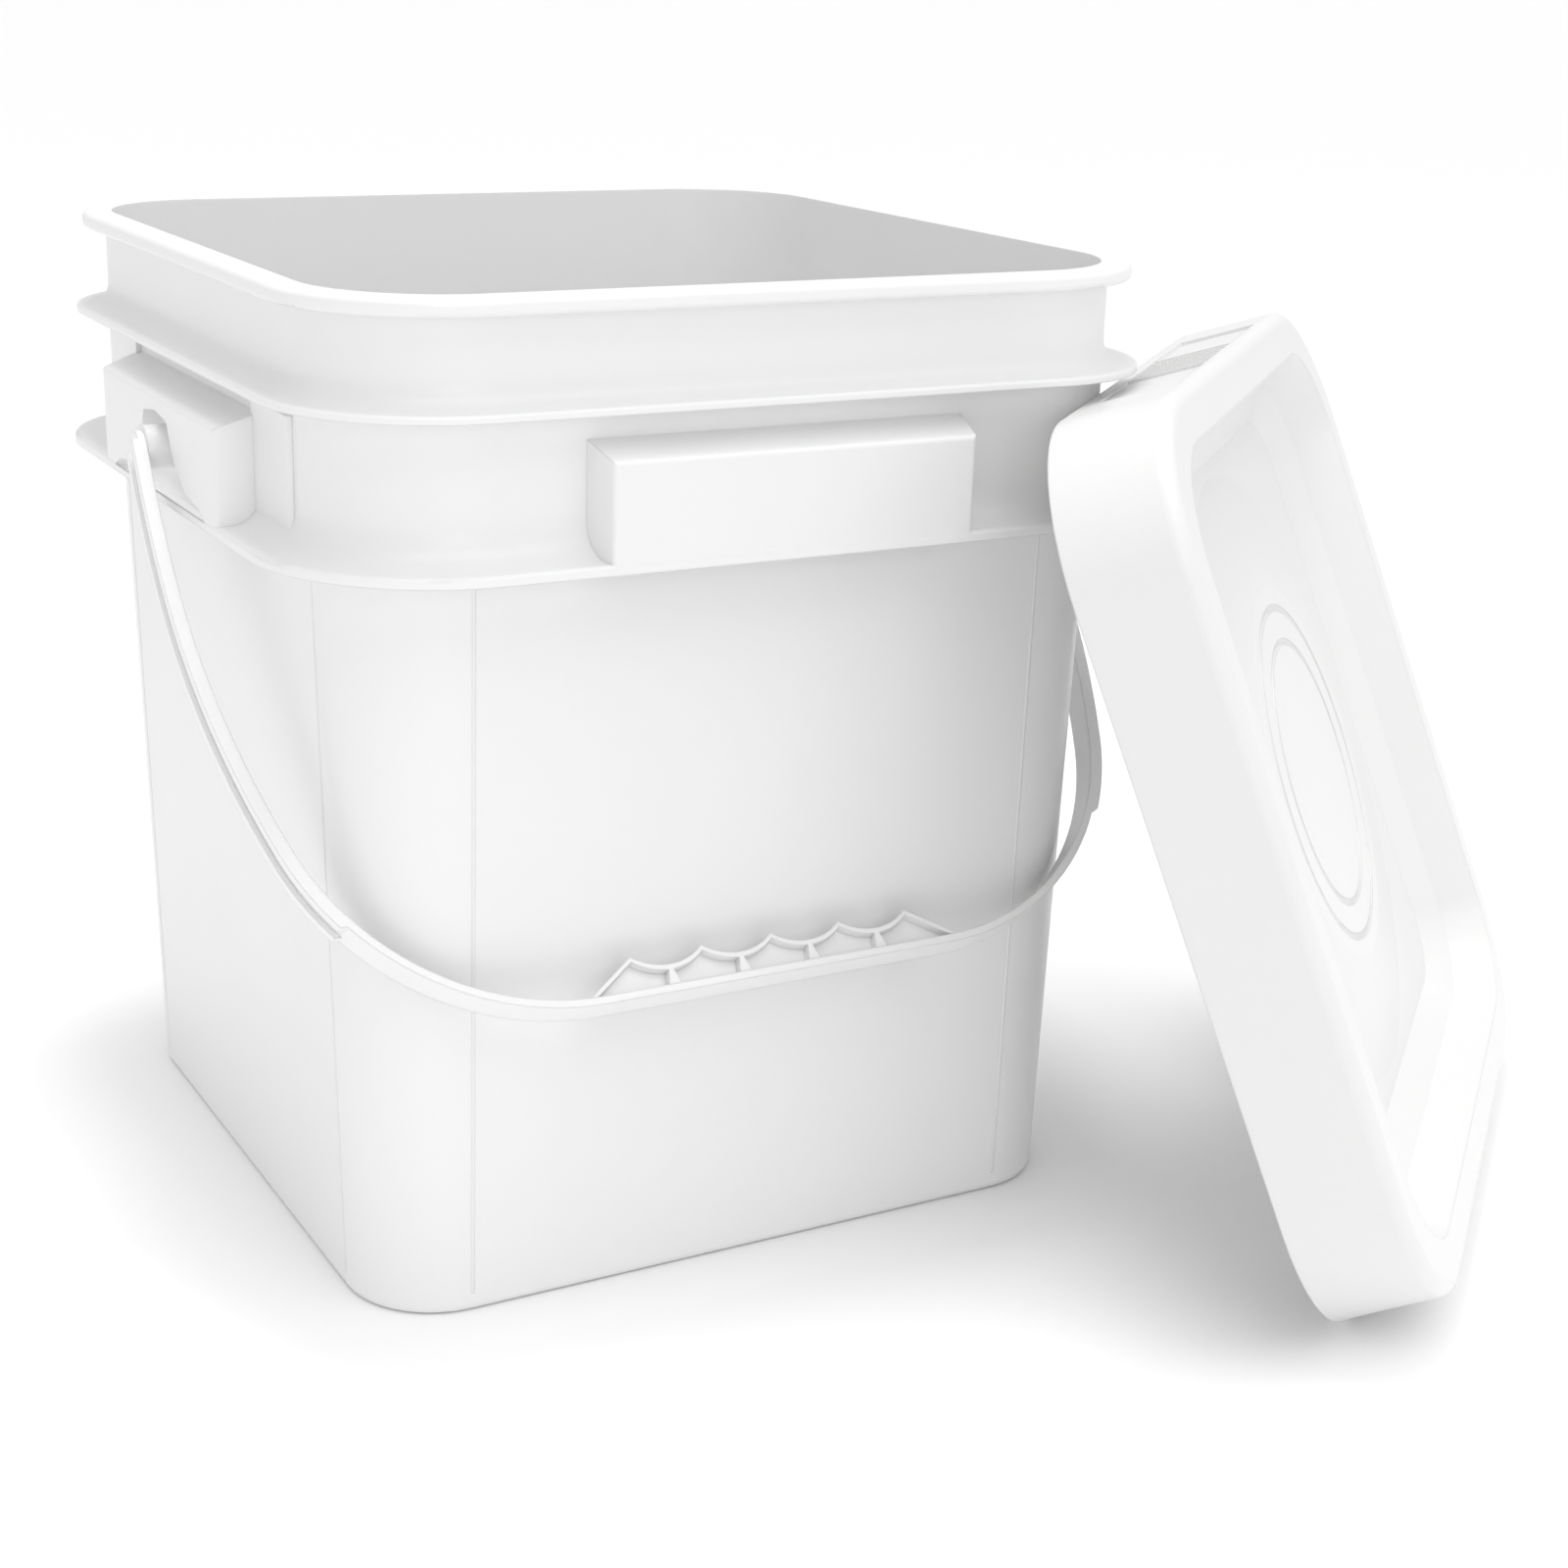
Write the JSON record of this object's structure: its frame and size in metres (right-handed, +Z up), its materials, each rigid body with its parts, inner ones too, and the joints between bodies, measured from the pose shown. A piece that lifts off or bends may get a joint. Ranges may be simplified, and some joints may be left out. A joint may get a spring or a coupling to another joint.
{
  "type": "square plastic bucket with lid and bail handle",
  "caption": "Square tapered plastic bucket with rolled rim, flanges, swinging bail handle with finger grip, and a deep snap-fit gasketed lid leaning on its side.",
  "frame": {"origin": "centre of the bucket's base, on the floor", "axes": "+Z up out of the bucket's mouth, the bail's pivots along X, the front that the bail hangs against faces -Y"},
  "size_m": [0.4674, 0.4021, 0.2907],
  "materials": {
    "bucket_plastic": "satin",
    "handle_plastic": "satin",
    "lid_plastic": "satin",
    "gasket_rubber": "matte"
  },
  "bodies": {
    "bucket": {"bucket_body": "bucket_plastic"},
    "bail": {"bail_handle": "handle_plastic"},
    "lid": {"lid": "lid_plastic", "lid_gasket": "gasket_rubber"}
  },
  "joints": [
    {"name": "bail_swing", "type": "hinge", "parent": "bucket", "child": "bail", "pos_m": [0, 0, 0.2335], "axis": [-1, 0, 0], "range_deg": [0, 272.5]},
    {"name": "lid_away", "type": "slide", "parent": "bucket", "child": "lid", "axis": [0.673, -0.7396, 0], "range_m": [0, 0.4]}
  ],
  "couplings": [
    {"joint": "lid_away", "follows": "bail_swing", "m_per_rad": 0.08}
  ]
}
